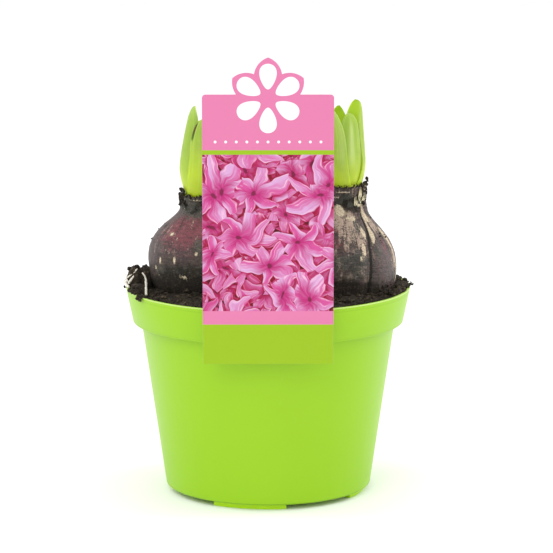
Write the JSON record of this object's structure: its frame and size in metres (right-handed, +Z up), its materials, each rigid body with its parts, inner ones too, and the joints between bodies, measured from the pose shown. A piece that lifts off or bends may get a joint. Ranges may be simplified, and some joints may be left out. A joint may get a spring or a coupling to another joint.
{
  "type": "potted hyacinth plant",
  "caption": "Forced hyacinth bulbs in leaf shoot, standing in soil in a round plastic nursery pot with a tall picture label hooked over the rim.",
  "frame": {"origin": "centre of the pot's foot ring, on the surface that the pot stands on", "axes": "+Z up along the pot's axis; the label's printed face looks along -Y; +X to the right of the label as it is read"},
  "size_m": [0.12, 0.1211, 0.1892],
  "materials": {
    "pot_plastic": "smooth lime green injection-moulded plastic, satin",
    "soil": "dark crumbly potting soil, matt",
    "bulb_skin": "dry purple-brown bulb skin with pale papery flakes",
    "leaf": "waxy yellow-green leaf, satin",
    "label_card": "printed plastic card, soft gloss",
    "root": "dry white root, matt"
  },
  "bodies": {
    "root": {"pot": "pot_plastic", "soil": "soil", "bulb_left": "bulb_skin", "bulb_right": "bulb_skin", "shoot_left": "leaf", "shoot_right": "leaf", "label": "label_card", "roots": "root"}
  },
  "joints": []
}
